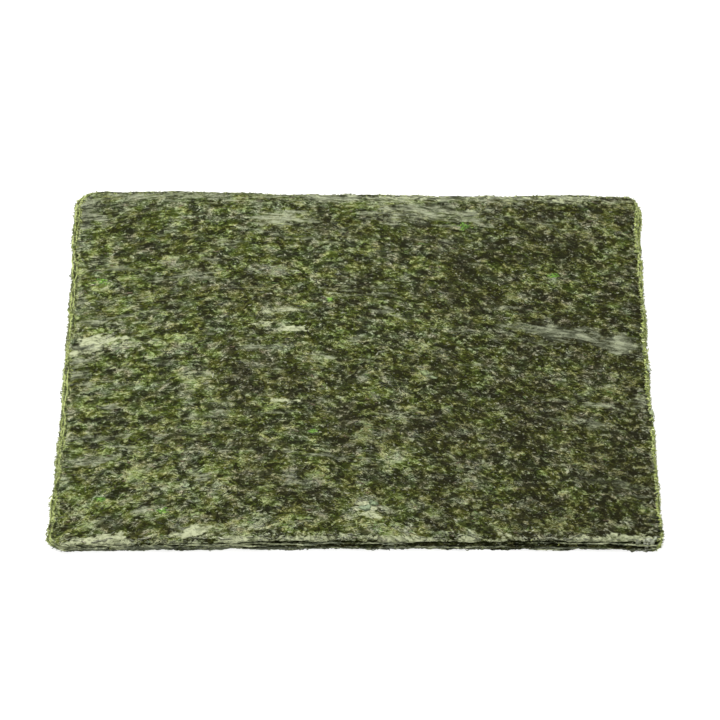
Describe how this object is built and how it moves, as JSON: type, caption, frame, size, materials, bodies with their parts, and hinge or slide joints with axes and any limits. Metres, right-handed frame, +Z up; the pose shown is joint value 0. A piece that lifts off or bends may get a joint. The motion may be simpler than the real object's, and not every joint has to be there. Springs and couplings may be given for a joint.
{
  "type": "pile of dried laver sheets",
  "caption": "Neat pile of thin, wavy, frayed rectangular sheets of dried green laver seaweed, lying flat, for wrapping rice.",
  "frame": {"origin": "under the middle of the pile, on the surface that it lies on", "axes": "+Z up, +X along the long side of the sheets, -Y towards the near edge in the picture"},
  "size_m": [0.2128, 0.194, 0.005],
  "materials": {
    "laver_top": "dull shine, mottled",
    "laver_edges": "dull shine, mottled",
    "laver_underside": "matt, ribbed by the drying mat"
  },
  "bodies": {
    "root": {"sheet_01": "laver_underside", "sheet_02": "laver_edges", "sheet_03": "laver_edges", "sheet_04": "laver_edges", "sheet_05": "laver_edges", "sheet_06": "laver_edges", "sheet_07": "laver_edges", "sheet_08": "laver_edges", "sheet_09": "laver_edges", "sheet_10": "laver_top"}
  },
  "joints": []
}
